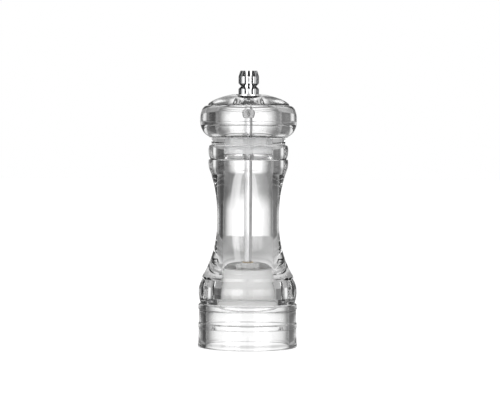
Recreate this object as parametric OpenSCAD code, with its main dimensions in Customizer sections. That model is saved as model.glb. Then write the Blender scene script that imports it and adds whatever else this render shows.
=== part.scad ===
// Pepper mill in clear acrylic: a waisted body, a lift-off head, and a ceramic
// grinder driven by a square spindle. Millimetres, +Z up, origin at the centre of the foot.

/* [Body] */
// Height of the clear body, up to the face that the head turns on
body_h = 121.8; // [119:0.1:126]
// Radius of the foot flare at the table
foot_r = 28.9; // [28.6:0.1:30.5]
// Radius of the base drum between its two ridges
drum_r = 28.4; // [28.1:0.1:28.5]
// How far a ridge stands out from the base drum
ridge_h = 0.25; // [0.15:0.05:0.5]
// Height of the lower ridge's middle
low_ridge_z = 12.6; // [9:0.1:15]
// Height of the upper ridge's middle
high_ridge_z = 23.4; // [20:0.1:24]
// Radius of the body just above the base bead
shoulder_r = 26.5; // [26:0.1:27]
// Radius of the waist
waist_r = 18.0; // [17.6:0.1:19]
// Height of the lower end of the waist
waist_low_z = 72; // [70:0.1:74]
// Height of the upper end of the waist
waist_top_z = 77; // [75:0.1:80]
// Radius of the two neck beads
neck_bead_r = 23.2; // [22.8:0.1:24]
// Radius of the neck above the beads
neck_r = 21.5; // [20.5:0.1:22]

/* [Hollow] */
// Radius of the pepper chamber at the neck
bore_r = 14.4; // [14.3:0.05:14.8]
// Radius of the pepper chamber above the grinder
bore_low_r = 15; // [14.9:0.05:15.1]
// Radius of the socket round the grinder
socket_r = 15.9; // [15.8:0.1:16.6]
// Height of the ledge that the grinder's flange is screwed to
ledge_z = 29.2; // [28.8:0.1:30]
// Radius of the open skirt under the ledge
skirt_r = 24.4; // [24.2:0.1:25.2]

/* [Head] */
// Largest radius of the head
head_r = 28.1; // [27:0.1:30]
// Height of the head above the body
head_h = 25; // [24.5:0.1:28]
// Height of the head's widest line above its underside
equator_h = 9.2; // [8.4:0.1:9.8]
// Radius of the head's underside
underside_r = 23.2; // [22.6:0.1:23.8]
// Radius of the step where the dome starts
step_r = 23.5; // [22.5:0.1:24.2]
// Radius of the flat land round the knob
land_r = 9.3; // [8.4:0.1:11]
// Radius of the tenon's plain end
tenon_r = 13.9; // [13.6:0.1:14.1]
// Radius of the hollow inside the head
cavity_r = 19.5; // [18.5:0.1:19.8]
// Length of the tenon below the head
tenon_h = 13.2; // [12:0.1:16]
// Length of the soft sleeve on the tenon
sleeve_h = 9.0; // [7:0.1:10]
// Thickness of the sleeve
sleeve_t = 1.5; // [1:0.1:2]

/* [Knob] */
// Radius of the knob
knob_r = 6; // [5.6:0.1:6.4]
// Height of the knob
knob_h = 18.9; // [18.6:0.1:21]
// Depth that the knob sits in the head
knob_sink = 5.3; // [4.5:0.1:5.6]
// Radius at the knob's top edge
knob_top_r = 4.9; // [4.4:0.1:5.4]
// Radius at the bottom of the knob's groove
knob_groove_r = 4.4; // [4.2:0.1:5]
// Number of finger slots round the knob
knob_slots = 10; // [6:1:11]
// Width of a finger slot
knob_slot_w = 1.7; // [1:0.1:1.9]
// Angle of the first finger slot from +X
knob_slot_turn = 0; // [0:1:44]

/* [Spindle] */
// Side of the spindle's square bar
bar_w = 3.3; // [3.2:0.05:3.4]
// Radius that the bar's corners are turned to
bar_corner_r = 2.2; // [2.1:0.05:2.25]
// Angle of the bar's faces about its axis
bar_turn = 56; // [0:1:89]
// Radius of the stem above the bar
stem_r = 1.4; // [1.2:0.05:1.5]
// Width across the flats that drive the stem
stem_flats = 2.1; // [1.9:0.05:2.2]
// Height of the stem's tip
stem_tip_z = 152; // [150:0.1:153]
// Radius of the stud for the lower nut
stud_r = 1.5; // [1.4:0.05:1.6]

/* [Grinder] */
// Height of the open top of the grinder's housing
housing_top_z = 44.1; // [43.9:0.1:45.2]
// Radius of the housing near its top
housing_top_r = 14.4; // [14:0.1:14.5]
// Radius of the housing at the ledge
housing_low_r = 15.5; // [15.3:0.1:15.6]
// Radius of the housing's mouth at its rim
mouth_r = 12.6; // [12.2:0.1:12.8]
// Radius at the bottom of the mouth's funnel
throat_in_r = 11; // [10.6:0.1:11.2]
// Radius of the seat for the outer burr
seat_r = 12.8; // [12.6:0.1:13]
// Height of the seat for the outer burr
seat_top_z = 36; // [35:0.1:37]
// Radius of the housing's flange
flange_r = 17.4; // [17.1:0.1:17.5]
// Height of the flange's underside
flange_low_z = 23.8; // [23.5:0.1:24]
// Width of a spoke that carries the guide
spoke_w = 2.4; // [1.8:0.1:3]
// Radius of the hub round the guide bush
hub_r = 4.8; // [4.4:0.1:5.2]
// Radius of the inner burr at its lower edge
burr_r = 10.4; // [10:0.1:10.6]
// Slope of the burrs' cones, as radius over height
burr_slope = 0.65; // [0.62:0.01:0.68]
// Gap between the burrs at the coarsest setting
burr_gap = 1.15; // [1.15:0.05:1.3]
// Number of teeth on the inner burr
inner_teeth = 12; // [9:1:14]
// Number of teeth on the outer burr
outer_teeth = 18; // [12:1:22]
// Distance of a flange screw from the axis
screw_x = 20.4; // [20.3:0.05:20.5]

/* [Fits] */
// Clearance of a part that turns or slides on another
run_gap = 0.08; // [0.05:0.01:0.1]
// Clearance of the sleeve in the neck
sleeve_gap = 0.15; // [0.1:0.05:0.3]
// Travel of the spindle between coarse and fine
grind_travel = 1.6; // [1.2:0.1:1.6]

/* [Hidden] */
$fn = 96;
eps = 0.01;

// Small edge breaks, lead-ins and cutter overshoot that several pieces share
edge_r = 0.8;
ease = 0.4;
lead_in = 0.6;
over = 1;

// Body levels
foot_edge_z = 1.6;
foot_top_z = 2.8;
ridge_half = 1.2;
ridge_slope = 0.7;
drum_top_r = drum_r - 0.2;
bead_out = 2;
bead_r = shoulder_r + bead_out;
bead_mid_z = 32.3;
bead_low_round = 21;
bead_top_round = 13.5;
bead_low_z = high_ridge_z + ridge_half + ridge_slope + 0.4;
low_curve_r = 60;
top_curve_r = 77;
top_curve_step = 0.55;
neck_h = 4.4;
neck_z = body_h - neck_h;
neck_bead_h = 7.9;
neck_bead_round = 11;
neck_groove = 0.9;
neck_groove_h = 0.6;
waist_curve_r = top_curve_r - (neck_bead_r - top_curve_step - waist_r);
waist_end_z = waist_top_z + sqrt(pow(top_curve_r, 2) - pow(waist_curve_r, 2));
low_neck_bead_z = waist_end_z + sqrt(pow(neck_bead_round, 2) - pow(neck_bead_round - top_curve_step, 2));
neck_notch_z = neck_z - neck_bead_h;
funnel_rise = 3.4;
funnel_z = housing_top_z + funnel_rise;
funnel_h = 6;
skirt_draft = 0.1;
skirt_lead = 0.5;

// Head levels
head_z = body_h;
head_top_z = head_z + head_h;
equator_z = head_z + equator_h;
dome_h = 6.5;
dome_mid_r = 20.5;
dome_drop = 2.4;
step_z = head_top_z - dome_h;
step_ease = 0.3;
cap_low_r = underside_r - 2.9;
cap_low_w = head_r - cap_low_r;
cap_low_h = equator_h + 0.2;
cap_side_w = 4.6;
cap_side_power = 2.4;
floor_h = 3.2;
floor_z = head_z + floor_h;
roof_h = 7.7;
ceiling_z = head_top_z - roof_h;
seam_out_z = equator_z + 0.2;
seam_in_z = equator_z - 1.5;
seam_r = 24;
seam_fit = 0.1;
knob_z = head_top_z - knob_sink;
knob_top_z = knob_z + knob_h;
tenon_low_z = head_z - tenon_h;
bore_straight_z = tenon_low_z - 2;
sleeve_r = bore_r - sleeve_gap;
sleeve_in_r = sleeve_r - sleeve_t;
sleeve_low_z = head_z - sleeve_h;
well_r = knob_r + 0.6;
washer_t = 0.6;
washer_in = 0.3;
well_z = knob_z - washer_t;
bush_r = 3.5;
bush_flange_r = 5.2;
bush_low_r = 3.7;
bush_drop = 6.1;
bush_straight_h = 4.1;
bush_low_z = ceiling_z - bush_drop;
bush_cone_z = ceiling_z - bush_straight_h;
bush_round = 0.7;
bush_fit = 0.02;
bar_hole_r = bar_corner_r + 0.15;

// Knob levels
knob_foot_in = 1.2;
knob_foot_h = 2.2;
knob_edge_h = 3.4;
knob_groove_drop = 9;
knob_groove_z = knob_top_z - knob_groove_drop;
knob_groove_half = knob_r - knob_groove_r;
slot_floor_r = knob_groove_r - 0.5;
knob_bore_z = stem_tip_z + grind_travel + 1.2;

// Grinder levels, from the flange up
burr_low_z = flange_low_z;
burr_band_h = 1.2;
burr_cone_z = burr_low_z + burr_band_h;
burr_tip_r = 5;
burr_cone_h = (burr_r - burr_tip_r) / burr_slope;
burr_hub_r = 4.2;
burr_hub_h = 1;
burr_top_z = burr_cone_z + burr_cone_h + burr_hub_h;
burr_recess_h = 3.4;
burr_floor_z = burr_low_z + burr_recess_h;
burr_recess_r = 5.2;
ring_h = 1.1;
ring_z = flange_low_z + 0.2;
ring_in_r = burr_r + burr_gap + 0.1;
outer_low_z = ring_z + ring_h;
throat_h = 5.2;
throat_z = outer_low_z + throat_h;
outer_rim_w = 1.7;
inner_tooth = 0.7;
outer_tooth = 0.6;
tooth_skew = 20;
housing_edge_r = 0.7;
mouth_floor_z = seat_top_z + 1.4;
spring_washer_r = 4;
spring_washer_t = 0.6;
spring_low_z = burr_top_z + spring_washer_t;
guide_drop = 4.5;
bush_seat_z = housing_top_z - guide_drop;
spring_top_z = bush_seat_z - spring_washer_t;
hub_rise = 2.4;
hub_top_z = housing_top_z + hub_rise;
guide_r = 3.3;
spoke_low_z = bush_seat_z + 0.4;
spoke_h = 2.6;
spoke_root = 0.8;
rib_r = 7.2;
rib_h = hub_top_z - 0.6 - spoke_low_z;
lip_z = ledge_z - 2;
lip_step = 1;
shoulder_fit = 0.3;
screw_shoulder_r = screw_x - flange_r - shoulder_fit;
shank_r = 1.4;
shank_h = 6.8;
shank_tip_r = 0.3;
screw_head_r = 3.5;
screw_head_z = flange_low_z + 0.4;
cross_l = 3.6;
cross_w = 0.8;
stem_low_z = ceiling_z - 3.1;
bush_hole_z = stem_low_z + grind_travel + 0.5;
stud_top_z = burr_floor_z + 0.4;
stud_low_z = burr_low_z + 0.3;
burr_washer_r = 3.4;
nut_h = 2.2;
nut_across = 5.5;
nut_top_z = burr_floor_z - washer_t;

// Coil spring
spring_wire_r = 0.3;
spring_coil_r = 3.2;
spring_turns = 3;
spring_flat_turn = 0.5;
spring_sides = 6;
spring_steps = 20;

// Points along an ellipse about c, from one angle to another
function arc(c, a, b, from, to, n) =
  [for (i = [0:n]) let (t = from + (to - from) * i / n) [c[0] + a * cos(t), c[1] + b * sin(t)]];

// Points along a fuller side than an ellipse's about c, the fuller the larger the power
function full_arc(c, a, b, from, to, n, power) =
  [for (i = [0:n]) let (t = from + (to - from) * i / n)
    [c[0] + a * pow(cos(t), 2 / power), c[1] + b * pow(sin(t), 2 / power)]];

// Points along a curve that leaves p towards q and arrives at s
function bend(p, q, s, n) =
  [for (i = [0:n]) let (t = i / n) (1 - t) * (1 - t) * p + 2 * t * (1 - t) * q + t * t * s];

// Angle on a circle of radius r at which it has moved out by d
function out_angle(r, d) = acos(1 - d / r);

module turned(points) {
  rotate_extrude() polygon(points);
}

module ring(outer, inner, z, h) {
  translate([0, 0, z]) difference() {
    cylinder(r = outer, h = h);
    translate([0, 0, -eps]) cylinder(r = inner, h = h + 2 * eps);
  }
}

// The spindle's square bar, or the square hole that takes it when grown
module bar(z, h, grow = 0, corner = bar_corner_r) {
  side = bar_w + 2 * grow;
  translate([0, 0, z]) rotate([0, 0, bar_turn]) intersection() {
    translate([-side / 2, -side / 2, 0]) cube([side, side, h]);
    translate([0, 0, -eps]) cylinder(r = corner + grow, h = h + 2 * eps);
  }
}

// The flatted stem, or the hole that it drives when grown
module flatted(z, h, grow = 0) {
  translate([0, 0, z]) rotate([0, 0, bar_turn]) intersection() {
    cylinder(r = stem_r + grow, h = h);
    translate([-stem_r * 2, -stem_flats / 2 - grow, -eps])
      cube([stem_r * 4, stem_flats + 2 * grow, h + 2 * eps]);
  }
}

// Outside of the body, from the foot to the neck
function ridge(z, below_r) = [
  [below_r, z - ridge_half - ridge_h], [drum_r + ridge_h, z - ridge_half],
  [drum_r + ridge_h, z + ridge_half], [drum_top_r, z + ridge_half + ridge_slope]
];

// A neck bead's rounded side, from one height to another, widest at mid
function neck_bead(low, mid, high) =
  arc([neck_bead_r - neck_bead_round, mid], neck_bead_round, neck_bead_round,
    asin((low - mid) / neck_bead_round), asin((high - mid) / neck_bead_round), 8);

function body_outside() = concat(
  arc([foot_r - edge_r, edge_r], edge_r, edge_r, -90, 0, 4),
  [[foot_r, foot_edge_z], [drum_r + ridge_h / 2, foot_top_z]],
  ridge(low_ridge_z, drum_r),
  ridge(high_ridge_z, drum_top_r),
  arc([bead_r - bead_low_round, bead_mid_z], bead_low_round, bead_low_round,
    asin((bead_low_z - bead_mid_z) / bead_low_round), 0, 6),
  arc([bead_r - bead_top_round, bead_mid_z], bead_top_round, bead_top_round,
    5, out_angle(bead_top_round, bead_r - shoulder_r), 8),
  arc([waist_r + low_curve_r, waist_low_z], low_curve_r, low_curve_r,
    180 + out_angle(low_curve_r, shoulder_r - waist_r), 180, 16),
  arc([waist_r + top_curve_r, waist_top_z], top_curve_r, top_curve_r,
    180, 180 - out_angle(top_curve_r, neck_bead_r - top_curve_step - waist_r), 12),
  neck_bead(waist_end_z + eps, low_neck_bead_z, neck_notch_z - neck_groove_h),
  [[neck_bead_r - neck_groove - ease, neck_notch_z - neck_groove_h / 2]],
  neck_bead(neck_notch_z, neck_z - neck_bead_h / 2 + ease, neck_z - ease),
  [[neck_r + ease, neck_z], [neck_r, neck_z], [neck_r, body_h - ease], [neck_r - ease, body_h]]
);

// Inside of the body, from the neck down: the chamber eases out into the grinder's socket
function body_inside() = concat(
  [[bore_r + lead_in, body_h], [bore_r, body_h - lead_in], [bore_r, bore_straight_z]],
  bend([bore_low_r, funnel_z], [socket_r, funnel_z - funnel_h], [socket_r, funnel_z - 2 * funnel_h], 8),
  [[socket_r, ledge_z], [skirt_r - skirt_draft, ledge_z], [skirt_r, skirt_lead], [skirt_r + skirt_lead, 0]]
);

module body() {
  color("white", 0.4) difference() {
    turned(concat(body_outside(), body_inside()));
    for (side = [-1, 1])
      translate([side * screw_x, 0, ledge_z - eps]) cylinder(r = shank_r + run_gap, h = shank_h + lead_in);
  }
}

// Outside of the head below its seam, with the tenon that plugs the neck
function base_outside() = concat(
  [[tenon_r - lead_in, tenon_low_z], [tenon_r, tenon_low_z + lead_in], [tenon_r, sleeve_low_z - run_gap],
   [sleeve_in_r - run_gap, sleeve_low_z - run_gap], [sleeve_in_r - run_gap, head_z],
   [underside_r - ease, head_z]],
  arc([cap_low_r, equator_z], cap_low_w, cap_low_h, -acos((underside_r - cap_low_r) / cap_low_w), 0, 12),
  [[head_r, seam_out_z], [seam_r + seam_fit, seam_out_z], [seam_r + seam_fit, seam_in_z]]
);

// Outside of the head above its seam
function cap_outside() = concat(
  [[seam_r, seam_in_z], [seam_r, seam_out_z], [head_r, seam_out_z]],
  full_arc([head_r - cap_side_w, equator_z], cap_side_w, step_z - equator_z, 4, 72, 10, cap_side_power),
  [[step_r + step_ease, step_z], [step_r, step_z + step_ease]],
  bend([step_r, step_z + edge_r], [dome_mid_r, head_top_z - dome_drop], [land_r, head_top_z], 12)
);

// Lower half of the hollow clear head: the floor and the tenon, glued to the cap at a stepped seam
module head_base() {
  color("white", 0.4) difference() {
    turned(concat([[0, tenon_low_z]], base_outside(), [[0, seam_in_z]]));
    translate([0, 0, floor_z]) cylinder(r = cavity_r, h = head_h);
    translate([0, 0, tenon_low_z - over]) cylinder(r = bar_hole_r, h = head_h + tenon_h);
  }
}

// Upper half of the clear head: the dome, with the knob's well and the drive bush's hole
module head_cap() {
  color("white", 0.4) difference() {
    turned(concat([[0, seam_in_z]], cap_outside(), [[0, head_top_z]]));
    translate([0, 0, seam_in_z - over]) cylinder(r = cavity_r, h = ceiling_z - seam_in_z + over);
    translate([0, 0, well_z]) cylinder(r = well_r, h = knob_sink + washer_t + over);
    translate([0, 0, ceiling_z - over]) cylinder(r = bush_r + bush_fit, h = head_h);
  }
}

module head_sleeve() {
  color("gainsboro", 0.8) ring(sleeve_r, sleeve_in_r, sleeve_low_z, sleeve_h - run_gap);
}

module drive_bush() {
  color("silver") difference() {
    turned([
      [0, bush_low_z], [bush_low_r - bush_round, bush_low_z], [bush_low_r, bush_low_z + bush_round],
      [bush_flange_r, bush_cone_z], [bush_flange_r, ceiling_z], [bush_r, ceiling_z], [bush_r, well_z], [0, well_z]
    ]);
    bar(bush_low_z - over, bush_hole_z - bush_low_z + over, run_gap);
    flatted(bush_low_z - over, well_z - bush_low_z + 2 * over, run_gap);
  }
}

module knob_washer() {
  color("whitesmoke") ring(knob_r - washer_in, stem_r + washer_in, well_z, washer_t);
}

// Knob: two bands with a groove between them, slotted for grip
module adjusting_knob() {
  color("silver") difference() {
    turned([
      [0, knob_z], [knob_r - knob_foot_in, knob_z], [knob_r, knob_z + knob_foot_h],
      [knob_r, knob_groove_z - knob_groove_half], [knob_groove_r, knob_groove_z],
      [knob_r, knob_groove_z + knob_groove_half],
      [knob_r, knob_top_z - knob_edge_h], [knob_top_r, knob_top_z], [0, knob_top_z]
    ]);
    translate([0, 0, knob_z - over]) cylinder(r = stem_r + run_gap, h = knob_bore_z - knob_z + over);
    for (i = [0:knob_slots - 1])
      rotate([0, 0, knob_slot_turn + i * 360 / knob_slots])
        translate([slot_floor_r, -knob_slot_w / 2, knob_z - over])
          cube([knob_r, knob_slot_w, knob_h + 2 * over]);
  }
}

module spindle() {
  color("lightgray") union() {
    translate([0, 0, stud_low_z]) cylinder(r = stud_r, h = stud_top_z - stud_low_z + eps);
    bar(stud_top_z, stem_low_z - stud_top_z);
    flatted(stem_low_z - eps, stem_tip_z - stem_low_z + eps);
  }
}

// Housing: a cup that narrows upwards, with a spoked hub in its mouth and a flange below
// Spokes carry a short raised rib beside the hub
module spokes() {
  for (i = [0:2])
    rotate([0, 0, 90 + i * 120])
      translate([hub_r - spoke_root, -spoke_w / 2, spoke_low_z]) {
        cube([mouth_r - hub_r + 2 * spoke_root, spoke_w, spoke_h]);
        cube([rib_r - hub_r + spoke_root, spoke_w, rib_h]);
      }
}

module grinder_housing() {
  color("white") difference() {
    union() {
      difference() {
        turned(concat(
          [[0, flange_low_z], [flange_r - lip_step, flange_low_z], [flange_r - lip_step, lip_z],
           [flange_r, lip_z], [flange_r, ledge_z], [housing_low_r, ledge_z]],
          arc([housing_top_r - housing_edge_r, housing_top_z - housing_edge_r],
            housing_edge_r, housing_edge_r, 4, 90, 4),
          [[0, housing_top_z]]
        ));
        translate([0, 0, flange_low_z - over]) cylinder(r = seat_r, h = seat_top_z - flange_low_z + over);
        cylinder(r = throat_in_r, h = housing_top_z + over);
        translate([0, 0, mouth_floor_z])
          cylinder(r1 = throat_in_r, r2 = mouth_r, h = housing_top_z - mouth_floor_z + eps);
      }
      translate([0, 0, bush_seat_z]) cylinder(r = hub_r, h = hub_top_z - bush_seat_z);
      spokes();
    }
    cylinder(r = guide_r, h = hub_top_z + over);
  }
}

module guide_bush() {
  color("goldenrod") ring(guide_r, bar_corner_r + run_gap, bush_seat_z, hub_top_z - bush_seat_z);
}

// Teeth are skewed V grooves, laid along a cone of the burrs' slope
module tooth_grooves(count, r, z, depth, skew) {
  lean = atan(burr_slope);
  length = burr_cone_h * 1.5;
  for (i = [0:count - 1])
    rotate([0, 0, i * 360 / count])
      translate([r, 0, z]) rotate([0, -lean, 0]) rotate([skew, 0, 0]) rotate([0, 0, 45])
        translate([-depth, -depth, -length / 2]) cube([2 * depth, 2 * depth, length]);
}

module inner_burr() {
  mid_r = (burr_r + burr_tip_r) / 2;
  color("ivory") difference() {
    turned([
      [0, burr_floor_z], [burr_recess_r, burr_floor_z], [burr_recess_r, burr_low_z],
      [burr_r - ease, burr_low_z], [burr_r, burr_low_z + ease], [burr_r, burr_cone_z],
      [burr_tip_r, burr_cone_z + burr_cone_h], [burr_hub_r, burr_top_z], [0, burr_top_z]
    ]);
    bar(burr_floor_z - over, burr_top_z - burr_floor_z + 2 * over, run_gap);
    tooth_grooves(inner_teeth, mid_r + inner_tooth / 3, burr_cone_z + burr_cone_h / 2,
      inner_tooth, tooth_skew);
  }
}

module outer_burr() {
  low_in_r = burr_r + burr_gap - burr_slope * (outer_low_z - burr_cone_z);
  throat_r = low_in_r - burr_slope * (throat_z - outer_low_z);
  color("ivory") difference() {
    turned([
      [low_in_r, outer_low_z], [seat_r - run_gap, outer_low_z], [seat_r - run_gap, seat_top_z],
      [throat_r + outer_rim_w, seat_top_z], [throat_r, throat_z]
    ]);
    tooth_grooves(outer_teeth, (low_in_r + throat_r - outer_tooth / 3) / 2, (outer_low_z + throat_z) / 2,
      outer_tooth, -tooth_skew);
  }
}

module burr_retaining_ring() {
  color("whitesmoke") ring(seat_r - run_gap, ring_in_r, ring_z, ring_h);
}

module burr_washer() {
  color("silver") ring(burr_washer_r, stud_r + run_gap, nut_top_z, washer_t);
}

module burr_nut() {
  color("silver") translate([0, 0, nut_top_z - nut_h]) difference() {
    cylinder(r = nut_across / sqrt(3), h = nut_h, $fn = 6);
    translate([0, 0, -over]) cylinder(r = stud_r + run_gap, h = nut_h + 2 * over);
  }
}

module spring_washer(z) {
  color("silver") difference() {
    translate([0, 0, z]) cylinder(r = spring_washer_r, h = spring_washer_t);
    bar(z - over, spring_washer_t + 2 * over, run_gap);
  }
}

// Coil spring: rings of points swept along a helix, with flat closed ends
function helix_z(turn) =
  let (rise = (turn - spring_flat_turn) / (spring_turns - 2 * spring_flat_turn))
  spring_low_z + spring_wire_r + (spring_top_z - spring_low_z - 2 * spring_wire_r) * min(max(rise, 0), 1);

function spring_point(i, k) =
  let (turn = i / spring_steps, a = 360 * turn, b = 360 * k / spring_sides + 90,
    r = spring_coil_r + spring_wire_r * cos(b))
  [r * cos(a), r * sin(a), helix_z(turn) + spring_wire_r * sin(b)];

module burr_spring() {
  last = spring_turns * spring_steps;
  color("silver") polyhedron(
    points = [for (i = [0:last]) for (k = [0:spring_sides - 1]) spring_point(i, k)],
    faces = concat(
      [[for (k = [0:spring_sides - 1]) k]],
      [for (i = [0:last - 1]) for (k = [0:spring_sides - 1])
        let (a = i * spring_sides, b = a + spring_sides, n = (k + 1) % spring_sides)
        [a + k, b + k, b + n, a + n]],
      [[for (k = [spring_sides - 1:-1:0]) last * spring_sides + k]]
    )
  );
}

module flange_screws() {
  color("dimgray") for (side = [-1, 1]) translate([side * screw_x, 0, 0]) difference() {
    turned([
      [0, screw_head_z], [screw_head_r - ease, screw_head_z], [screw_head_r, screw_head_z + ease],
      [screw_head_r, lip_z], [screw_shoulder_r, lip_z], [screw_shoulder_r, ledge_z], [shank_r, ledge_z],
      [shank_r, ledge_z + shank_h - over], [shank_tip_r, ledge_z + shank_h], [0, ledge_z + shank_h]
    ]);
    for (turn = [0, 90])
      rotate([0, 0, turn])
        translate([-cross_l / 2, -cross_w / 2, screw_head_z - over]) cube([cross_l, cross_w, over + cross_w]);
  }
}

body();
grinder_housing();
guide_bush();
outer_burr();
burr_retaining_ring();
flange_screws();
spindle();
inner_burr();
burr_washer();
burr_nut();
spring_washer(burr_top_z);  // lower_spring_washer
burr_spring();
spring_washer(spring_top_z);  // upper_spring_washer
head_base();
head_cap();
head_sleeve();
drive_bush();
knob_washer();
adjusting_knob();
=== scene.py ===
import math

import bmesh
import bpy
from mathutils import Matrix, Vector


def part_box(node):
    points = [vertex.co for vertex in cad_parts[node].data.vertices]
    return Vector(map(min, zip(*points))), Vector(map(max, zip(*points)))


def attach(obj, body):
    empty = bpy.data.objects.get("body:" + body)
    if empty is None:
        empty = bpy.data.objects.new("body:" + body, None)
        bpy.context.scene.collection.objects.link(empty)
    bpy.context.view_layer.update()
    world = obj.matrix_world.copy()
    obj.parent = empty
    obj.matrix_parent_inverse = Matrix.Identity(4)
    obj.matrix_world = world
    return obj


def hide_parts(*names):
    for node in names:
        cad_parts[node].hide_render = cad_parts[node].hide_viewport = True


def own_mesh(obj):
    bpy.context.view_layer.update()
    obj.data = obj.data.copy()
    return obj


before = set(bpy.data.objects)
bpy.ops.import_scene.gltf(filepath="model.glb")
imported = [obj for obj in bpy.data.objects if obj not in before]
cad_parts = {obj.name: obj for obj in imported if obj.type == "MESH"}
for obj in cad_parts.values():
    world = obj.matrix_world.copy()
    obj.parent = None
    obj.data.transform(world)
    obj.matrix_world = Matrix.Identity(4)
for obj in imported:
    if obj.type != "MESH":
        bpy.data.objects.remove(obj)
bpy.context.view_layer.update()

# Lengths below are in millimetres. Every mesh is scaled to metres as it is made.
MM = 0.001
FINE = 224
ROUND = 96

# Lengths that more than one piece is made from
knob_groove_drop = 9
hub_rise, funnel_rise = 2.4, 3.4
screw_head_r, shank_h = 3.5, 6.8


def low_z(node):
    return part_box(node)[0].z / MM


def top_z(node):
    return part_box(node)[1].z / MM


def radius(node):
    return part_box(node)[1].x / MM


# ---------------------------------------------------------------- outlines


def arc(centre, a, b, start, stop, n):
    """Points along an ellipse about a centre, from one angle to another."""
    out = []
    for i in range(n + 1):
        t = math.radians(start + (stop - start) * i / n)
        out.append((centre[0] + a * math.cos(t), centre[1] + b * math.sin(t)))
    return out


def full_arc(centre, a, b, start, stop, n, power):
    """Points along a fuller side than an ellipse's, the fuller the larger the power."""
    out = []
    for i in range(n + 1):
        t = math.radians(start + (stop - start) * i / n)
        out.append((centre[0] + a * math.cos(t) ** (2 / power), centre[1] + b * math.sin(t) ** (2 / power)))
    return out


def bend(p, q, s, n):
    """Points along a curve that leaves p towards q and arrives at s."""
    out = []
    for i in range(n + 1):
        t = i / n
        k = ((1 - t) ** 2, 2 * t * (1 - t), t * t)
        out.append(tuple(k[0] * p[j] + k[1] * q[j] + k[2] * s[j] for j in range(2)))
    return out


def eased(points, reach, n=3, closed=True):
    """The outline with every corner sharper than 22 degrees rounded over a short reach."""
    out = []
    count = len(points)
    for i, p in enumerate(points):
        if not closed and i in (0, count - 1):
            out.append(p)
            continue
        before = Vector(points[i - 1]) - Vector(p)
        after = Vector(points[(i + 1) % count]) - Vector(p)
        if before.length < 1e-6 or after.length < 1e-6:
            out.append(p)
            continue
        if math.pi - before.angle(after) < math.radians(22):
            out.append(p)
            continue
        a = Vector(p) + before * (min(reach, before.length * 0.45) / before.length)
        b = Vector(p) + after * (min(reach, after.length * 0.45) / after.length)
        out += bend(a, p, b, n)
    return out


def out_angle(r, d):
    """Angle on a circle of radius r at which it has moved out by d."""
    return math.degrees(math.acos(1 - d / r))


# ---------------------------------------------------------------- meshes


def shade(bm, sharp=32):
    """Smooth shading, with a crease at every edge that turns more than sharp degrees."""
    for face in bm.faces:
        face.smooth = True
    for edge in bm.edges:
        edge.smooth = len(edge.link_faces) == 2 and edge.calc_face_angle(0) < math.radians(sharp)


def finished(name, bm, sharp=32):
    """The mesh as an object at the origin, closed, facing out and shaded."""
    bmesh.ops.remove_doubles(bm, verts=bm.verts, dist=1e-7)
    bmesh.ops.recalc_face_normals(bm, faces=bm.faces)
    shade(bm, sharp)
    mesh = bpy.data.meshes.new(name)
    bm.to_mesh(mesh)
    bm.free()
    piece = bpy.data.objects.new(name, mesh)
    bpy.context.scene.collection.objects.link(piece)
    return piece


def spun(points, steps=ROUND, closed=True):
    """A bmesh of the outline of (radius, height) points, spun once round Z."""
    bm = bmesh.new()
    verts = [bm.verts.new((r * MM, 0, z * MM)) for r, z in points]
    pairs = list(zip(verts, verts[1:]))
    if closed:
        pairs.append((verts[-1], verts[0]))
    edges = [bm.edges.new(pair) for pair in pairs]
    bmesh.ops.spin(
        bm, geom=verts + edges, cent=(0, 0, 0), axis=(0, 0, 1),
        angle=2 * math.pi, steps=steps, use_merge=True,
    )
    bmesh.ops.remove_doubles(bm, verts=bm.verts, dist=1e-7)
    return bm


def turned(name, points, steps=ROUND, closed=True, sharp=32):
    return finished(name, spun(points, steps, closed), sharp)


def ring(name, outer, inner, low, high, ease=0.15, steps=ROUND):
    """A plain ring with its four edges broken."""
    outline = [(inner, low), (outer, low), (outer, high), (inner, high)]
    return turned(name, eased(outline, ease), steps)


def block(size, centre, turn=0, ease=0):
    """A bmesh box of three sizes about a centre, turned about Z, its upright edges rounded by ease."""
    bm = bmesh.new()
    bmesh.ops.create_cube(bm, size=1)
    bmesh.ops.scale(bm, verts=bm.verts, vec=[s * MM for s in size])
    if ease:
        upright = [e for e in bm.edges if abs(e.verts[0].co.z - e.verts[1].co.z) > size[2] * MM * 0.9]
        bmesh.ops.bevel(
            bm, geom=upright, offset=ease * MM, segments=4, profile=0.5,
            affect="EDGES", offset_type="OFFSET", material=-1,
        )
    bmesh.ops.translate(bm, verts=bm.verts, vec=[c * MM for c in centre])
    bmesh.ops.rotate(bm, verts=bm.verts, cent=(0, 0, 0), matrix=Matrix.Rotation(math.radians(turn), 3, "Z"))
    return bm


def settled(piece):
    """The piece with its modifiers applied to its mesh."""
    bpy.context.view_layer.update()
    graph = bpy.context.evaluated_depsgraph_get()
    mesh = bpy.data.meshes.new_from_object(piece.evaluated_get(graph))
    mesh.name = piece.name
    piece.modifiers.clear()
    piece.data = mesh
    return piece


def carved(piece, tool, operation="DIFFERENCE"):
    """The piece cut by, joined with or kept inside another, which is used up."""
    step = piece.modifiers.new("cut", "BOOLEAN")
    step.object = tool
    step.operation = operation
    step.solver = "EXACT"
    settled(piece)
    bpy.data.objects.remove(tool)
    return piece


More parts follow.
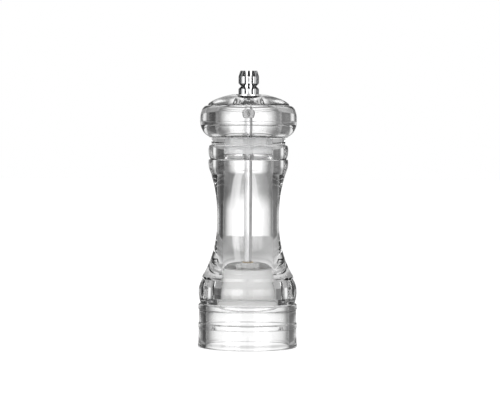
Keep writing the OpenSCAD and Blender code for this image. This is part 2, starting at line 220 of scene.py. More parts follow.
def edged(piece, width, sharp=32, segments=2):
    """The piece with its sharp edges bevelled and its shading set again."""
    bm = bmesh.new()
    bm.from_mesh(piece.data)
    bmesh.ops.remove_doubles(bm, verts=bm.verts, dist=1e-7)
    bmesh.ops.dissolve_limit(bm, angle_limit=math.radians(0.5), verts=bm.verts, edges=bm.edges)
    corner = math.radians(sharp)
    edges = [e for e in bm.edges if len(e.link_faces) == 2 and e.calc_face_angle(0) > corner]
    bmesh.ops.bevel(
        bm, geom=edges, offset=width * MM, segments=segments, profile=0.5, clamp_overlap=True,
        affect="EDGES", offset_type="OFFSET", material=-1,
    )
    shade(bm, sharp)
    bm.to_mesh(piece.data)
    bm.free()
    return piece


def softened(name, node, width, sharp=35):
    """A copy of a CAD node with its flats joined up and its edges broken."""
    bm = bmesh.new()
    bm.from_mesh(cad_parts[node].data)
    piece = finished(name, bm, sharp)
    piece.data.materials.clear()
    return edged(piece, width, sharp)


def helix(name, section, pitch, turns, low, flat=0, steps=40):
    """A closed section of (radius, height) points swept up a screw line, with flat turns at both ends."""
    bm = bmesh.new()
    verts = [bm.verts.new((r * MM, 0, (low + z) * MM)) for r, z in section]
    face = bm.faces.new(verts)
    sweep = [face]
    for span, rise in ((flat, 0), (turns, pitch), (flat, 0)):
        if span == 0:
            continue
        count = int(steps * span)
        out = bmesh.ops.spin(
            bm, geom=sweep, cent=(0, 0, 0), axis=(0, 0, 1), dvec=(0, 0, rise * span * MM / count),
            angle=2 * math.pi * span, steps=count, use_merge=False,
        )
        sweep = [g for g in out["geom_last"] if isinstance(g, bmesh.types.BMFace)]
    return finished(name, bm, 60)


# ---------------------------------------------------------------- shader maths


class Value:
    """A node's output. Arithmetic on it adds Math nodes to its graph."""

    def __init__(self, graph, socket):
        self.graph = graph
        self.socket = socket

    def math(self, operation, *inputs):
        return self.graph.node("ShaderNodeMath", {"operation": operation}, dict(enumerate(inputs)))

    def __add__(self, other):
        return self.math("ADD", self, other)

    def __mul__(self, other):
        return self.math("MULTIPLY", self, other)

    def __sub__(self, other):
        return self.math("SUBTRACT", self, other)

    def __rsub__(self, other):
        return self.math("SUBTRACT", other, self)

    def __truediv__(self, other):
        return self.math("DIVIDE", self, other)

    def __abs__(self):
        return self.math("ABSOLUTE", self)

    __radd__ = __add__
    __rmul__ = __mul__


class Graph:
    """A node tree, cleared, with one method that adds any node."""

    def __init__(self, tree):
        self.tree = tree
        tree.nodes.clear()

    def node(self, kind, settings=None, inputs=None, output=0):
        made = self.tree.nodes.new(kind)
        for key, value in (settings or {}).items():
            if key == "stops":
                self.set_stops(made.color_ramp, value)
            else:
                setattr(made, key, value)
        for key, value in (inputs or {}).items():
            if isinstance(value, Value):
                self.tree.links.new(value.socket, made.inputs[key])
            else:
                made.inputs[key].default_value = value
        if not made.outputs:
            return made
        return Value(self, made.outputs[output])

    @staticmethod
    def set_stops(ramp, stops):
        while len(ramp.elements) < len(stops):
            ramp.elements.new(0.5)
        for element, (place, colour) in zip(ramp.elements, sorted(stops)):
            element.position = place
            grey = isinstance(colour, (int, float))
            element.color = (colour, colour, colour, 1) if grey else (*colour, 1)

    def ramp(self, value, stops):
        """A colour, or a plain number, for each value from 0 to 1."""
        return self.node("ShaderNodeValToRGB", {"stops": stops}, {"Fac": value})

    def spread(self, value, low, high, to_low=0, to_high=1, smooth=True):
        """value from low..high carried to to_low..to_high, and held beyond."""
        kind = "SMOOTHSTEP" if smooth else "LINEAR"
        ends = {"Value": value, "From Min": low, "From Max": high, "To Min": to_low, "To Max": to_high}
        return self.node("ShaderNodeMapRange", {"interpolation_type": kind}, ends)

    def place(self, scale=(1, 1, 1)):
        """Object coordinates in millimetres, stretched by scale."""
        where = self.node("ShaderNodeTexCoord", output="Object")
        full = [s / MM for s in scale]
        return self.node("ShaderNodeMapping", {"vector_type": "POINT"}, {"Vector": where, "Scale": full})

    def noise(self, where, scale, detail=2, rough=0.5, warp=0):
        return self.node(
            "ShaderNodeTexNoise", {"noise_dimensions": "3D"},
            {"Vector": where, "Scale": scale, "Detail": detail, "Roughness": rough, "Distortion": warp},
        )

    def specks(self, where, scale, feature="F1", chance=1):
        return self.node(
            "ShaderNodeTexVoronoi", {"feature": feature},
            {"Vector": where, "Scale": scale, "Randomness": chance},
        )

    def parts(self, where):
        split = self.node("ShaderNodeSeparateXYZ", inputs={"Vector": where}).socket.node
        return [Value(self, out) for out in split.outputs]

    def mix(self, share, a, b):
        """Colours a and b mixed by share."""
        return self.node(
            "ShaderNodeMix", {"data_type": "RGBA"}, {"Factor": share, 6: a, 7: b}, output=2,
        )

    def bump(self, height, depth, strength=1.0):
        """A normal from a height field, where depth is the bump's height in millimetres."""
        return self.node(
            "ShaderNodeBump", inputs={"Height": height, "Distance": depth * MM, "Strength": strength},
        )


def finish(name, build, **fixed):
    """A material: fixed values on the shader, and what build(graph) gives for its linked sockets."""
    material = bpy.data.materials.new(name)
    material.use_nodes = True
    graph = Graph(material.node_tree)
    linked = build(graph)
    values = {key.replace("_", " "): value for key, value in fixed.items()}
    shader = graph.node("ShaderNodeBsdfPrincipled", inputs={**values, **linked})
    graph.node("ShaderNodeOutputMaterial", inputs={"Surface": shader})
    return material


# ---------------------------------------------------------------- finishes


def scratches(graph, where, scale, keep):
    """Sparse fine lines, 1 on a line and 0 between."""
    stretched = graph.noise(where, scale, 3, 0.6, 0.4)
    line = abs(stretched - 0.5)
    return graph.spread(line, 0, keep, 1, 0)


def acrylic_look(graph):
    around = graph.place()
    rubbed = scratches(graph, graph.place((1, 1, 0.25)), 0.35, 0.004)
    film = graph.spread(graph.noise(around, 0.06, 2), 0.5, 0.8)
    wave = graph.noise(around, 0.05, 1)
    return {
        "Roughness": rubbed * 0.05 + film * 0.012,
        "Normal": graph.bump(wave, 0.02, 0.25),
    }


def chrome_look(graph):
    """Chrome, with the flanks of the knob's finger grip painted near-black: painted shade standing in for the
    dark reflection they show.
    """
    around = graph.place()
    haze = graph.noise(around, 0.9, 3)
    lines = scratches(graph, graph.place((1, 1, 6)), 0.5, 0.02)
    tone = graph.ramp(haze, [(0.3, (0.80, 0.81, 0.82)), (0.7, (0.88, 0.88, 0.885))])
    x, y, z = graph.parts(around)
    out = x.math("SQRT", x * x + y * y)
    groove_z = top_z("adjusting_knob") - knob_groove_drop
    # Painted shade: a mask of the finger grip's flanks, where the chrome's base colour is painted near-black in
    # place of its dark reflection.
    painted_groove_shade = graph.spread(abs(z - groove_z), 1.3, 1.6, 1, 0) * graph.spread(out, 4.15, 4.35)
    return {
        "Base Color": graph.mix(painted_groove_shade * 0.9, tone, (0.06, 0.06, 0.06, 1)),
        "Roughness": 0.05 + haze * 0.06 + lines * 0.08,
        "Normal": graph.bump(graph.noise(around, 0.5, 1), 0.01, 0.6),
    }


def steel_look(graph, light=0.84, dark=0.72, drawn=(6, 6, 0.15)):
    """Drawn or turned steel: fine lines along one way, a little uneven."""
    lines = graph.noise(graph.place(drawn), 0.8, 4, 0.6)
    patch = graph.noise(graph.place(), 0.2, 2)
    tone = graph.mix(lines * 0.6 + patch * 0.4, (dark, dark, dark * 1.01, 1), (light, light, light * 1.005, 1))
    return {
        "Base Color": tone,
        "Roughness": 0.2 + lines * 0.14,
        "Normal": graph.bump(lines, 0.01, 0.5),
    }


def dark_steel_look(graph):
    around = graph.place()
    grain = graph.noise(around, 2.5, 4)
    worn = graph.spread(graph.noise(around, 0.8, 3), 0.58, 0.7)
    return {
        "Base Color": graph.mix(worn, (0.05, 0.05, 0.053, 1), (0.2, 0.2, 0.2, 1)),
        "Roughness": 0.32 + grain * 0.2,
        "Normal": graph.bump(grain, 0.02, 0.5),
    }


def plastic_look(graph, light=(0.94, 0.94, 0.935), dark=(0.91, 0.91, 0.90)):
    around = graph.place()
    grain = graph.noise(around, 3, 3)
    cloud = graph.noise(around, 0.12, 2)
    dust = graph.spread(graph.specks(around, 1.1), 0.0, 0.12, 1, 0)
    tone = graph.ramp(cloud, [(0.35, dark), (0.65, light)])
    return {
        "Base Color": graph.mix(dust * 0.25, tone, (0.7, 0.69, 0.66, 1)),
        "Roughness": 0.3 + grain * 0.14,
        "Normal": graph.bump(grain, 0.012, 0.4),
    }


def nylon_look(graph):
    return plastic_look(graph, (0.86, 0.86, 0.84), (0.80, 0.80, 0.78))


def silicone_look(graph):
    around = graph.place()
    cloud = graph.noise(around, 0.3, 3)
    grain = graph.noise(around, 4, 2)
    tone = graph.ramp(cloud, [(0.3, (0.90, 0.905, 0.91)), (0.7, (0.95, 0.955, 0.96))])
    return {
        "Base Color": tone,
        "Roughness": 0.34 + grain * 0.16,
        "Normal": graph.bump(grain, 0.015, 0.5),
    }


def brass_look(graph):
    lines = graph.noise(graph.place((0.3, 0.3, 8)), 1, 3)
    tarnish = graph.noise(graph.place(), 0.5, 3)
    return {
        "Base Color": graph.mix(tarnish, (0.80, 0.62, 0.30, 1), (0.66, 0.47, 0.21, 1)),
        "Roughness": 0.2 + lines * 0.2,
        "Normal": graph.bump(lines, 0.01, 0.5),
    }


def ceramic_look(graph):
    around = graph.place()
    grain = graph.noise(around, 5, 4, 0.7)
    cloud = graph.noise(around, 0.4, 3)
    ground_in = graph.spread(graph.noise(around, 1.6, 4, 0.7), 0.56, 0.7)
    tone = graph.ramp(cloud, [(0.3, (0.80, 0.785, 0.75)), (0.7, (0.88, 0.87, 0.84))])
    return {
        "Base Color": graph.mix(ground_in * 0.35, tone, (0.42, 0.36, 0.29, 1)),
        "Roughness": 0.55 + grain * 0.25,
        "Normal": graph.bump(grain, 0.03, 0.6),
    }


def turned_steel_look(graph):
    return steel_look(graph, 0.80, 0.68, (0.3, 0.3, 8))


clear_acrylic = finish(
    "clear_acrylic", acrylic_look, Base_Color=(1, 1, 1, 1), Transmission_Weight=1.0, IOR=1.49,
)
chrome = finish("chrome", chrome_look, Metallic=1.0)
bright_steel = finish("bright_steel", steel_look, Metallic=1.0)
spring_steel = finish("spring_steel", lambda g: steel_look(g, 0.6, 0.46, (4, 4, 4)), Metallic=1.0)
aluminium = finish("turned_aluminium", turned_steel_look, Metallic=1.0)
dark_steel = finish("blackened_steel", dark_steel_look, Metallic=0.7)
white_plastic = finish("white_plastic", plastic_look, IOR=1.49, Subsurface_Weight=0.0)
nylon = finish("nylon", nylon_look, IOR=1.5)
silicone = finish("frosted_silicone", silicone_look, Transmission_Weight=0.25, IOR=1.41)
brass = finish("turned_brass", brass_look, Metallic=1.0)
ceramic = finish("ceramic", ceramic_look, IOR=1.55)


def fit(piece, material, body, slot, *nodes):
    """Gives a piece its finish and its body, and hides the CAD nodes that it stands for; slot is not used."""
    piece.data.materials.clear()
    piece.data.materials.append(material)
    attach(piece, body)
    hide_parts(*nodes)
    return piece


# ---------------------------------------------------------------- clear body

body_h = top_z("body")
foot_r = radius("body")
drum_r, ridge_h, ridge_half, ridge_slope = 28.4, 0.25, 1.2, 0.7
drum_top_r = drum_r - 0.2
low_ridge_z, high_ridge_z = 12.6, 23.4
shoulder_r, waist_r = 26.5, 18.0
waist_low_z, waist_top_z = 72, 77
low_curve_r, top_curve_r, top_curve_step = 60, 77, 0.55
neck_r, neck_z = 21.5, body_h - 4.4
neck_bead_r, neck_bead_h, neck_bead_round = 23.2, 7.9, 11
neck_groove, neck_groove_h = 0.9, 0.6
bore_r, bore_low_r, socket_r, skirt_r = 14.4, 15, 15.9, 24.4
funnel_z, funnel_h = top_z("grinder_housing") - hub_rise + funnel_rise, 6
ledge_z = top_z("flange_screws") - shank_h
edge_r = 0.8
bead_out = 2
bead_r, bead_mid_z = shoulder_r + bead_out, 32.3
bead_low_round, bead_top_round = 21, 13.5
bead_low_z = high_ridge_z + ridge_half + ridge_slope + 0.4


def ridge(z, below_r):
    out = drum_r + ridge_h
    return [
        (below_r, z - ridge_half - ridge_h), (out, z - ridge_half),
        (out, z + ridge_half), (drum_top_r, z + ridge_half + ridge_slope),
    ]


def neck_bead(low, mid, high):
    """A neck bead's rounded side, widest at mid."""
    start, stop = (math.degrees(math.asin((z - mid) / neck_bead_round)) for z in (low, high))
    return arc((neck_bead_r - neck_bead_round, mid), neck_bead_round, neck_bead_round, start, stop, 16)


def body_outside():
    waist_curve_r = top_curve_r - (neck_bead_r - top_curve_step - waist_r)
    waist_end_z = waist_top_z + math.sqrt(top_curve_r ** 2 - waist_curve_r ** 2)
    low_mid_z = waist_end_z + math.sqrt(neck_bead_round ** 2 - (neck_bead_round - top_curve_step) ** 2)
    notch_z = neck_z - neck_bead_h
    low_lean = math.degrees(math.asin((bead_low_z - bead_mid_z) / bead_low_round))
    return (
        arc((foot_r - edge_r, edge_r), edge_r, edge_r, -90, 0, 6)
        + [(foot_r, 1.6), (drum_r + 0.2, 2.8)]
        + ridge(low_ridge_z, drum_r)
        + ridge(high_ridge_z, drum_top_r)
        + arc((bead_r - bead_low_round, bead_mid_z), bead_low_round, bead_low_round, low_lean, 0, 12)
        + arc((bead_r - bead_top_round, bead_mid_z), bead_top_round, bead_top_round,
              3, out_angle(bead_top_round, bead_r - shoulder_r), 16)
        + arc((waist_r + low_curve_r, waist_low_z), low_curve_r, low_curve_r,
              180 + out_angle(low_curve_r, shoulder_r - waist_r), 180, 40)
        + arc((waist_r + top_curve_r, waist_top_z), top_curve_r, top_curve_r,
              180, 180 - out_angle(top_curve_r, neck_bead_r - top_curve_step - waist_r), 30)
        + neck_bead(waist_end_z + 0.1, low_mid_z, notch_z - neck_groove_h)
        + [(neck_bead_r - neck_groove - 0.4, notch_z - neck_groove_h / 2)]
        + neck_bead(notch_z, neck_z - neck_bead_h / 2 + 0.4, neck_z - 0.4)
        + [(neck_r + 0.4, neck_z), (neck_r, neck_z), (neck_r, body_h - 0.4), (neck_r - 0.4, body_h)]
    )


tenon_low_z = low_z("head_base")
body_inside = (
    [(bore_r + 0.6, body_h), (bore_r, body_h - 0.6), (bore_r, tenon_low_z - 2)]
    + bend((bore_low_r, funnel_z), (socket_r, funnel_z - funnel_h), (socket_r, funnel_z - 2 * funnel_h), 20)
    + [(socket_r, ledge_z), (skirt_r - 0.1, ledge_z), (skirt_r, 0.5), (skirt_r + 0.5, 0)]
)
clear_body = turned("clear_body", eased(body_outside() + body_inside, 0.18), FINE)
screw_x = radius("flange_screws") - screw_head_r
for side in (-1, 1):
    hole = spun([(0, ledge_z - 1), (1.48, ledge_z - 1), (1.48, ledge_z + shank_h + 0.3),
                 (0, ledge_z + shank_h + 0.6)], 40, closed=False)
    bmesh.ops.contextual_create(hole, geom=[e for e in hole.edges if len(e.link_faces) == 1])
    bmesh.ops.translate(hole, verts=hole.verts, vec=(side * screw_x * MM, 0, 0))
    carved(clear_body, finished("screw_hole", hole))
fit(clear_body, clear_acrylic, "mill_body", "clear_acrylic", "body")

# ---------------------------------------------------------------- clear head

head_z = body_h
head_top_z = top_z("head_cap")
head_r = radius("head_cap")
equator_z = head_z + 9.2
step_z = head_top_z - 6.5
step_r, underside_r, land_r = 23.5, 23.2, 9.3
tenon_r = 13.9
run_gap = 0.08
sleeve_in_r = 12.75
sleeve_low_z = low_z("head_sleeve")
cap_low_r = underside_r - 2.9
cap_low_w = head_r - cap_low_r
well_r = 6.6
well_z = low_z("knob_washer")
cavity_r, floor_z, ceiling_z, cavity_round = 19.5, head_z + 3.2, head_top_z - 7.7, 0.3
seam_out_z, seam_in_z, seam_r = equator_z + 0.2, equator_z - 1.5, 24
seam_gap = 0.03
bush_r, bush_flange_r, bush_low_r = 3.5, 5.2, 3.7
bush_low_z = ceiling_z - 6.1
bush_cone_z = ceiling_z - 4.1
bush_round = 0.7
bush_fit = 0.02
bar_hole_r = 2.35

cap_outline = (
    [(cavity_r, seam_in_z), (seam_r, seam_in_z), (seam_r, seam_out_z), (head_r, seam_out_z)]
    + full_arc((head_r - 4.6, equator_z), 4.6, step_z - equator_z, 4, 72, 18, 2.4)
    + [(step_r + 0.3, step_z), (step_r, step_z + 0.3)]
    + bend((step_r, step_z + edge_r), (20.5, head_top_z - 2.4), (land_r, head_top_z), 30)
    + [(well_r + 0.3, head_top_z), (well_r, head_top_z - 0.3), (well_r, well_z),
       (bush_r + bush_fit, well_z), (bush_r + bush_fit, ceiling_z)]
    + arc((cavity_r - cavity_round, ceiling_z - cavity_round), cavity_round, cavity_round, 90, 0, 6)
)
clear_cap = turned("clear_cap", eased(cap_outline, 0.15), FINE)
base_outline = (
    [(bar_hole_r, tenon_low_z), (tenon_r - 0.6, tenon_low_z), (tenon_r, tenon_low_z + 0.6),
     (tenon_r, sleeve_low_z - run_gap), (sleeve_in_r - run_gap, sleeve_low_z - run_gap),
     (sleeve_in_r - run_gap, head_z), (underside_r - 0.4, head_z)]
    + arc((cap_low_r, equator_z), cap_low_w, equator_z - head_z + 0.2,
          -math.degrees(math.acos((underside_r - cap_low_r) / cap_low_w)), 0, 20)
    + [(head_r, seam_out_z - seam_gap), (seam_r + 0.1, seam_out_z - seam_gap),
       (seam_r + 0.1, seam_in_z - seam_gap), (cavity_r, seam_in_z - seam_gap)]
    + arc((cavity_r - cavity_round, floor_z + cavity_round), cavity_round, cavity_round, 0, -90, 6)
    + [(bar_hole_r, floor_z)]
)
clear_base = turned("clear_base", eased(base_outline, 0.15), FINE)
fit(clear_cap, clear_acrylic, "turning_head", "clear_acrylic", "head_cap")
fit(clear_base, clear_acrylic, "turning_head", "clear_acrylic", "head_base")

sleeve = ring("soft_sleeve", radius("head_sleeve"), sleeve_in_r, sleeve_low_z, top_z("head_sleeve"), 0.25, FINE)
fit(sleeve, silicone, "turning_head", "frosted_silicone", "head_sleeve")

# ---------------------------------------------------------------- spindle

bar_w, bar_corner_r, bar_turn = 3.3, 2.2, 56
stem_r, stem_flats, stud_r = 1.4, 2.1, 1.5
stem_tip_z = top_z("spindle")
stud_low_z = low_z("spindle")
stud_top_z = stud_low_z + 3.5
stem_low_z = ceiling_z - 3.1
pitch = 0.5


def screw_thread(name, crest, low, high):
    """A screw thread that stands on a core 0.2 smaller than its crest."""
    core = crest - 0.2
    section = [(core - 0.12, 0), (crest, 0.2), (crest, 0.26), (core - 0.12, 0.44)]
    return helix(name, section, pitch, (high - low) / pitch - 1, low, steps=32)


def threaded_pin(name, crest, low, top, thread_low, thread_top, keep=None):
    """A round pin with a thread over part of its length, each kept inside a block if one is given."""
    core = crest - 0.2
    outline = [(0, low)]
    if thread_low > low + 0.5:
        outline += [(crest, low), (crest, thread_low - 0.4)]
    outline += [(core, max(low, thread_low - 0.2))]
    if thread_top < top - 0.5:
        outline += [(core, thread_top), (crest, thread_top + 0.4), (crest, top)]
    else:
        outline += [(core, top - 0.3), (core - 0.3, top)]
    outline += [(0, top)]
    pin = turned(name, outline, 48, closed=False)
    thread = screw_thread("thread", crest, thread_low, thread_top)
    if keep:
        carved(pin, finished("flats", block(*keep)), "INTERSECT")
        carved(thread, finished("flats", block(*keep)), "INTERSECT")
    return carved(pin, thread, "UNION")


spindle = finished("spindle_bar", block(
    (bar_w, bar_w, stem_low_z - stud_top_z), (0, 0, (stem_low_z + stud_top_z) / 2), bar_turn, 0.22))
flats = ((stem_r * 4, stem_flats, stem_tip_z - stem_low_z + 3), (0, 0, (stem_tip_z + stem_low_z) / 2), bar_turn)
stem = threaded_pin("stem", stem_r, stem_low_z - 0.5, stem_tip_z, well_z + 1, stem_tip_z - 0.2, flats)
carved(spindle, stem, "UNION")
stud = threaded_pin("stud", stud_r, stud_low_z, stud_top_z + 0.5, stud_low_z, stud_top_z + 0.3)
carved(spindle, stud, "UNION")
shade_again = bmesh.new()
shade_again.from_mesh(spindle.data)
shade(shade_again, 25)
shade_again.to_mesh(spindle.data)
shade_again.free()
fit(spindle, bright_steel, "spindle_set", "bright_steel", "spindle")

# ---------------------------------------------------------------- knob and bush

knob_z = low_z("adjusting_knob")
knob_top_z = top_z("adjusting_knob")
knob_r, knob_top_r, knob_groove_r = 6, 4.9, 4.4
groove_z, groove_half = knob_top_z - knob_groove_drop, knob_r - knob_groove_r
slots, slot_w = 10, 1.7

knob_outline = eased([
    (0, knob_z), (knob_r - 1.2, knob_z), (knob_r, knob_z + 2.2), (knob_r, groove_z - groove_half),
    (knob_groove_r, groove_z), (knob_r, groove_z + groove_half), (knob_r, knob_top_z - 3.4),
    (knob_top_r, knob_top_z), (0, knob_top_z),
], 0.12, 3, closed=False)
knob = turned("slotted_knob", knob_outline, 192, closed=False, sharp=14)
bore_side_r = stem_r + run_gap
bore = [(0, knob_z - 1), (bore_side_r, knob_z - 1), (bore_side_r, stem_tip_z + 2.4), (0, stem_tip_z + 3)]
carved(knob, turned("knob_bore", bore, 48, closed=False))
for i in range(slots):
    floor_r = knob_groove_r - 0.5
    size = (knob_r, slot_w, top_z("adjusting_knob") - knob_z + 2)
    cutter = block(size, (floor_r + knob_r / 2, 0, (knob_z + knob_top_z) / 2), i * 360 / slots)
    carved(knob, finished("slot", cutter))
edged(knob, 0.07, 12, 2)
fit(knob, chrome, "knob", "chrome", "adjusting_knob")

bush_hole_z = stem_low_z + 2.1
bush = turned("drive_bush_cone", eased([
    (0, bush_low_z), (bush_low_r - bush_round, bush_low_z), (bush_low_r, bush_low_z + bush_round),
    (bush_flange_r, bush_cone_z), (bush_flange_r, ceiling_z), (bush_r, ceiling_z), (bush_r, well_z),
    (0, well_z),
], 0.3, closed=False), 128, closed=False)
drive = turned("drive_hole", [(0, bush_low_z - 1), (stem_r + run_gap, bush_low_z - 1),
                              (stem_r + run_gap, well_z + 1), (0, well_z + 1)], 48, closed=False)
carved(drive, finished("drive_flats", block(
    (stem_r * 4, stem_flats + 2 * run_gap, 20), (0, 0, (bush_low_z + well_z) / 2), bar_turn)), "INTERSECT")
carved(bush, drive)
side = bar_w + 2 * run_gap
carved(bush, finished("bar_hole", block(
    (side, side, bush_hole_z - bush_low_z + 2), (0, 0, (bush_hole_z + bush_low_z) / 2 - 1), bar_turn)))
fit(bush, aluminium, "turning_head", "aluminium", "drive_bush")

washer = ring("slip_washer", radius("knob_washer"), stem_r + 0.3, well_z, top_z("knob_washer"), 0.12)
fit(washer, nylon, "knob_seat", "nylon", "knob_washer")

# ---------------------------------------------------------------- grinder

hub_top_z = top_z("grinder_housing")
housing_top_z = hub_top_z - hub_rise
flange_low_z = low_z("grinder_housing")
flange_r = radius("grinder_housing")
housing_top_r, housing_low_r, mouth_r, throat_r, seat_r = 14.4, 15.5, 12.6, 11, 12.8
seat_top_z = top_z("outer_burr")
lip_z = ledge_z - 2
bush_seat_z = low_z("guide_bush")
hub_r, rib_r, guide_r, spoke_w, spoke_h = 4.8, 7.2, 3.3, 2.4, 2.6

housing = turned("moulded_housing", eased(
    [(seat_r, flange_low_z), (flange_r - 1, flange_low_z), (flange_r - 1, lip_z), (flange_r, lip_z),
     (flange_r, ledge_z), (housing_low_r, ledge_z)]
    + arc((housing_top_r - 0.7, housing_top_z - 0.7), 0.7, 0.7, 4, 90, 8)
    + [(mouth_r, housing_top_z), (throat_r, seat_top_z + 1.4), (throat_r, seat_top_z), (seat_r, seat_top_z)],
    0.25), 160)
hub = ring("hub", hub_r, guide_r, bush_seat_z, hub_top_z, 0.3)
spoke_low_z = bush_seat_z + 0.4
for turn in (90, 210, 330):
    for reach, high in ((mouth_r + 0.8, spoke_low_z + spoke_h), (rib_r, hub_top_z - 0.6)):
        low_r = hub_r - 0.8
        bar = block((reach - low_r, spoke_w, high - spoke_low_z),
                    ((reach + low_r) / 2, 0, (high + spoke_low_z) / 2), turn)
        carved(hub, edged(finished("spoke", bar), 0.3), "UNION")
carved(housing, hub, "UNION")
fit(housing, white_plastic, "mill_body", "white_plastic", "grinder_housing")

guide = ring("guide_ring", guide_r, bar_corner_r + run_gap, bush_seat_z, hub_top_z, 0.2)
fit(guide, brass, "mill_body", "brass", "guide_bush")

fit(softened("outer_burr_ring", "outer_burr", 0.12), ceramic, "mill_body", "ceramic", "outer_burr")
fit(softened("inner_burr_cone", "inner_burr", 0.12), ceramic, "spindle_set", "ceramic", "inner_burr")
fit(softened("hex_nut", "burr_nut", 0.2), bright_steel, "spindle_set", "bright_steel", "burr_nut")
for name, node, body in (
    ("stud_washer", "burr_washer", "spindle_set"),
    ("spring_seat_low", "lower_spring_washer", "spindle_set"),
    ("spring_seat_top", "upper_spring_washer", "spring_set"),
):
    fit(softened(name, node, 0.08), bright_steel, body, "bright_steel", node)
keeper = ring("burr_keeper", radius("burr_retaining_ring"), 11.5, low_z("burr_retaining_ring"),
              top_z("burr_retaining_ring"), 0.15, 128)
fit(keeper, nylon, "mill_body", "nylon", "burr_retaining_ring")

wire_r, coil_r = 0.3, 3.2
spring_low_z = low_z("burr_spring")
spring_top_z = top_z("burr_spring")
rise = spring_top_z - spring_low_z - 2 * wire_r
section = arc((coil_r, wire_r), wire_r, wire_r, 0, 324, 9)
spring = helix("coil_spring", section, rise / 2, 2, spring_low_z, 0.5, 48)
fit(spring, spring_steel, "spring_set", "spring_steel", "burr_spring")
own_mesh(spring)

screw_low_z = low_z("flange_screws")
screws = None
for side in (-1, 1):
    screw = turned("flange_screw", eased([
        (0, screw_low_z), (screw_head_r - 0.4, screw_low_z), (screw_head_r, screw_low_z + 0.4),
        (screw_head_r, lip_z), (2.7, lip_z),
        (2.7, ledge_z), (1.4, ledge_z), (1.4, ledge_z + shank_h - 1), (0.3, ledge_z + shank_h),
        (0, ledge_z + shank_h),
    ], 0.12, closed=False), 64, closed=False)
    for turn in (0, 90):
        carved(screw, finished("cross", block((3.6, 0.8, 1.8), (0, 0, screw_low_z - 0.1), turn)))
    screw.data.transform(Matrix.Translation((side * screw_x * MM, 0, 0)))
    screws = screw if screws is None else carved(screws, screw, "UNION")
screws.name = "flange_screw_pair"
fit(screws, dark_steel, "mill_body", "dark_steel", "flange_screws")

# ---------------------------------------------------------------- studio


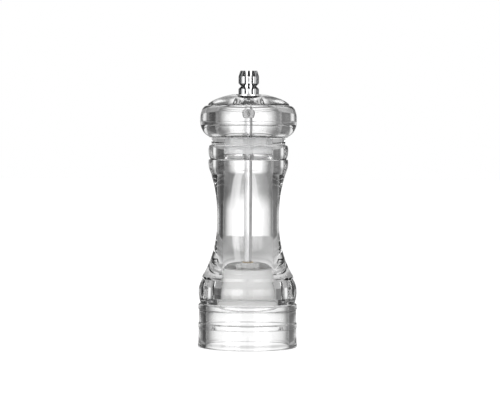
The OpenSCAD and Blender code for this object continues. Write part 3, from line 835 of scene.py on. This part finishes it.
def studio_light():
    """A lit backdrop with two upright lamps over it, a grey table, softboxes by the camera, a ceiling."""
    world = bpy.data.worlds.new("studio")
    bpy.context.scene.world = world
    world.use_nodes = True
    graph = Graph(world.node_tree)
    way = graph.node("ShaderNodeTexCoord", output="Generated")
    x, y, z = graph.parts(way)
    turn = x.math("ARCTAN2", x, y) * (180 / math.pi)
    rise = z.math("ARCSINE", z) * (180 / math.pi)
    aside = abs(turn)

    def panel(value, centre, half, soft):
        """1 within half of the centre, and 0 outside, over a soft edge."""
        return graph.spread(abs(value - centre), half - soft, half + soft, 1, 0)

    def laid(under, over, share):
        return under + (over - under) * share

    glow = graph.spread(aside, 4.5, 24, 1, 0.2)
    wall = graph.spread(turn, -11, -9, 0.14, 0.3) - graph.spread(turn, 9, 24, 0, 0.15)
    lamps = wall + panel(turn, -6.5, 3, 0.5) * 0.3 + panel(turn, 1.7, 2.3, 0.5) * 0.28
    backdrop = laid(glow, lamps, graph.spread(rise, 3, 13)) * graph.spread(aside, 27, 44, 1, 0)

    left = graph.spread(turn, -104, -84, 1, 0)
    right = graph.spread(turn, 60, 82) * 0.5 + graph.spread(turn, 140, 152) * 0.5
    room = 0.07 + graph.spread(turn, 0, 40) * 0.1 + left + right
    lens = x.math("SQRT", (180 - aside) * (180 - aside) + rise * rise)
    room = room * graph.spread(lens, 3, 5, 0.02, 1)
    left_softbox, right_softbox = 2.6, 2
    softbox = panel(aside, 142, 20, 4) * panel(rise, 6, 16, 3)
    room = room + softbox * graph.spread(turn, -90, 90, left_softbox, right_softbox)
    high_room = panel(aside, 78, 12, 6) * 0.5 + 0.06
    high_room = high_room + graph.spread(rise, 24, 34, 0, 0.7) * graph.spread(aside, 50, 85, 1, 0)
    room = laid(room, high_room, graph.spread(rise, 12, 26))
    sky = room.math("MAXIMUM", laid(room, 1, graph.spread(rise, 50, 62)), backdrop)

    cloth = 0.4 + graph.spread(turn, -10, 20) * 0.06 - graph.spread(turn, -9, -7, 0.08, 0)
    cloth = cloth + panel(turn, -5.4, 1.9, 0.4) * 0.22
    cloth = laid(cloth, 0.85, graph.spread(rise, -34, -20, 1, 0))
    cloth = laid(cloth, 1.3, graph.spread(rise, -20, -8, 1, 0) * graph.spread(aside, 92, 112))
    light = laid(sky, cloth, graph.spread(rise, -8.2, -6.8, 1, 0))

    path = graph.node("ShaderNodeLightPath", output="Is Camera Ray")
    strength = laid(light, 1, path)
    background = graph.node("ShaderNodeBackground", inputs={"Color": (1, 1, 1, 1), "Strength": strength})
    graph.node("ShaderNodeOutputWorld", inputs={"Surface": background})


def table():
    """A wide white floor that keeps a faint shadow and lets glass and metal see the studio."""
    bm = bmesh.new()
    bmesh.ops.create_grid(bm, x_segments=1, y_segments=1, size=3)
    floor = finished("floor", bm)
    material = bpy.data.materials.new("white_floor")
    material.use_nodes = True
    graph = Graph(material.node_tree)
    matt = graph.node("ShaderNodeBsdfDiffuse", inputs={"Color": (0.5, 0.5, 0.5, 1)})
    glow = graph.node("ShaderNodeEmission", inputs={"Color": (1, 1, 1, 1), "Strength": 0.8})
    seen = graph.node("ShaderNodeAddShader", inputs={0: matt, 1: glow})
    clear = graph.node("ShaderNodeBsdfTransparent")
    path = graph.node("ShaderNodeLightPath").socket.node
    camera = Value(graph, path.outputs["Is Camera Ray"])
    surface = graph.node("ShaderNodeMixShader", inputs={0: camera, 1: clear, 2: seen})
    graph.node("ShaderNodeOutputMaterial", inputs={"Surface": surface})
    floor.data.materials.append(material)


def camera():
    """A long lens a little above the table, looking along +Y and slightly down."""
    pitch_down = math.radians(2.3)
    distance = 1.436
    aim = Vector((0.00107, 0, 0.0854))
    data = bpy.data.cameras.new("camera")
    data.lens = 178
    data.sensor_width = 36
    eye = bpy.data.objects.new("camera", data)
    back = distance * Vector((0, -math.cos(pitch_down), math.sin(pitch_down)))
    tilt = Matrix.Rotation(math.pi / 2 - pitch_down, 4, "X") @ Matrix.Rotation(math.radians(0.3), 4, "Z")
    eye.matrix_world = Matrix.Translation(aim + back) @ tilt
    bpy.context.scene.collection.objects.link(eye)
    bpy.context.scene.camera = eye


studio_light()
table()
camera()
bpy.context.scene.view_settings.view_transform = "Standard"
